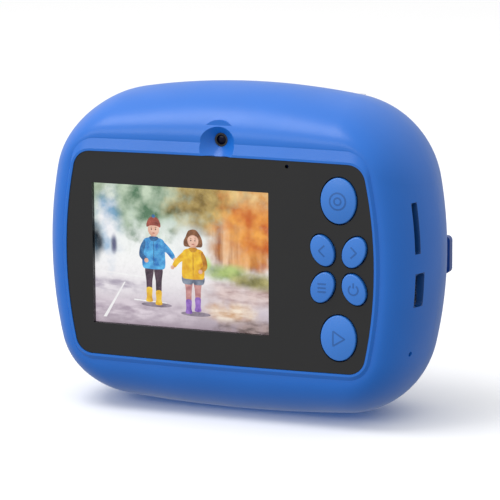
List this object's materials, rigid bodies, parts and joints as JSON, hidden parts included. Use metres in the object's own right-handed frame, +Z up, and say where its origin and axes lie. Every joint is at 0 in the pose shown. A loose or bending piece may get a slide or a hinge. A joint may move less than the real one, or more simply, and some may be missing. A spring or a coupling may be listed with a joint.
{
  "type": "kids digital camera",
  "caption": "Pillow-shaped child's instant-print camera with a rear screen and oval keys, side card and USB sockets, and a hinged front paper door around the lens.",
  "frame": {"origin": "middle of the flat foot under the casing, below the casing's widest section", "axes": "+X to the right as seen from the screen side, +Y out of the front lens (the screen faces -Y), +Z up"},
  "size_m": [0.1052, 0.0471, 0.0851],
  "materials": {
    "shell_blue": "satin moulded ABS",
    "key_blue": "semi-gloss moulded ABS",
    "tab_blue": "satin moulded ABS, dark blue",
    "plate_black": "back-printed acrylic",
    "clear_window": "clear acrylic",
    "display": "colour display showing a picture",
    "lens_glass": "coated lens",
    "black_plastic": "fine matt",
    "white_plastic": "natural POM or ABS",
    "circuit_board": "solder mask",
    "flex_film": "polyimide film",
    "battery_foil": "pouch foil",
    "steel": "nickel plated",
    "aluminium": "extruded",
    "brass": "turned",
    "roller_rubber": "ground",
    "thermal_paper": "coated thermal paper",
    "core_card": "spiral wound"
  },
  "bodies": {
    "casing": {"rear_shell": "shell_blue", "front_shell": "shell_blue", "face_plate": "plate_black", "screen_window": "clear_window", "casing_screws": "steel", "lcd_display": "display", "display_flex": "flex_film", "tact_switches": "black_plastic", "key_board": "circuit_board", "main_board": "circuit_board", "board_screws": "steel", "board_components": "black_plastic", "card_reader": "black_plastic", "usb_socket": "steel", "reset_switch": "black_plastic", "rear_camera_module": "black_plastic", "rear_lens": "lens_glass", "microphone": "black_plastic", "speaker": "black_plastic", "battery": "battery_foil", "camera_bracket": "steel", "bracket_screws": "steel", "front_camera_module": "black_plastic", "inner_frame": "white_plastic", "frame_screws": "steel", "stepper_motor": "steel", "idler_pin": "steel", "print_head": "aluminium", "tear_bar": "steel", "hinge_pin": "steel"},
    "door": {"paper_door": "shell_blue", "door_tab": "tab_blue", "lens_ring": "tab_blue", "front_lens_window": "clear_window", "lens_baffle": "black_plastic"},
    "roll": {"paper_roll": "thermal_paper", "roll_core": "core_card"},
    "platen": {"platen_shaft": "steel", "platen_roller": "roller_rubber", "platen_gear": "white_plastic"},
    "idler": {"idler_gear": "white_plastic"},
    "rotor": {"motor_shaft": "steel", "motor_pinion": "brass"},
    "card": {"memory_card": "black_plastic"},
    "shutter_key": {"shutter_button": "key_blue", "shutter_plunger": "white_plastic"},
    "playback_key": {"playback_button": "key_blue", "playback_plunger": "white_plastic"},
    "left_key": {"left_button": "key_blue", "left_plunger": "white_plastic"},
    "right_key": {"right_button": "key_blue", "right_plunger": "white_plastic"},
    "menu_key": {"menu_button": "key_blue", "menu_plunger": "white_plastic"},
    "power_key": {"power_button": "key_blue", "power_plunger": "white_plastic"}
  },
  "joints": [
    {"name": "door_hinge", "type": "hinge", "parent": "casing", "child": "door", "pos_m": [-0.0382, 0.0193, 0.04165], "axis": [0, 0, 1], "range_deg": [0, 100]},
    {"name": "roll_spin", "type": "hinge", "parent": "casing", "child": "roll", "pos_m": [0, 0.00365, 0.02465], "axis": [1, 0, 0], "continuous": true},
    {"name": "platen_spin", "type": "hinge", "parent": "casing", "child": "platen", "pos_m": [0, 0.00705, 0.07065], "axis": [1, 0, 0], "continuous": true},
    {"name": "idler_spin", "type": "hinge", "parent": "casing", "child": "idler", "pos_m": [0.0337, 0.00238, 0.06069], "axis": [1, 0, 0], "continuous": true},
    {"name": "motor_spin", "type": "hinge", "parent": "casing", "child": "rotor", "pos_m": [0.0337, -0.00265, 0.06815], "axis": [1, 0, 0], "continuous": true},
    {"name": "card_slide", "type": "slide", "parent": "casing", "child": "card", "axis": [1, 0, 0], "range_m": [0, 0.013]},
    {"name": "shutter_press", "type": "slide", "parent": "casing", "child": "shutter_key", "axis": [0, 1, 0], "range_m": [0, 0.0005], "stiffness_N_per_m": 300, "springref_m": -0.001},
    {"name": "playback_press", "type": "slide", "parent": "casing", "child": "playback_key", "axis": [0, 1, 0], "range_m": [0, 0.0005], "stiffness_N_per_m": 300, "springref_m": -0.001},
    {"name": "left_press", "type": "slide", "parent": "casing", "child": "left_key", "axis": [0, 1, 0], "range_m": [0, 0.0005], "stiffness_N_per_m": 300, "springref_m": -0.001},
    {"name": "right_press", "type": "slide", "parent": "casing", "child": "right_key", "axis": [0, 1, 0], "range_m": [0, 0.0005], "stiffness_N_per_m": 300, "springref_m": -0.001},
    {"name": "menu_press", "type": "slide", "parent": "casing", "child": "menu_key", "axis": [0, 1, 0], "range_m": [0, 0.0005], "stiffness_N_per_m": 300, "springref_m": -0.001},
    {"name": "power_press", "type": "slide", "parent": "casing", "child": "power_key", "axis": [0, 1, 0], "range_m": [0, 0.0005], "stiffness_N_per_m": 300, "springref_m": -0.001}
  ],
  "couplings": [
    {"joint": "platen_spin", "follows": "roll_spin", "ratio": -3.6286},
    {"joint": "idler_spin", "follows": "roll_spin", "ratio": 3.0238},
    {"joint": "motor_spin", "follows": "roll_spin", "ratio": -6.0476}
  ]
}
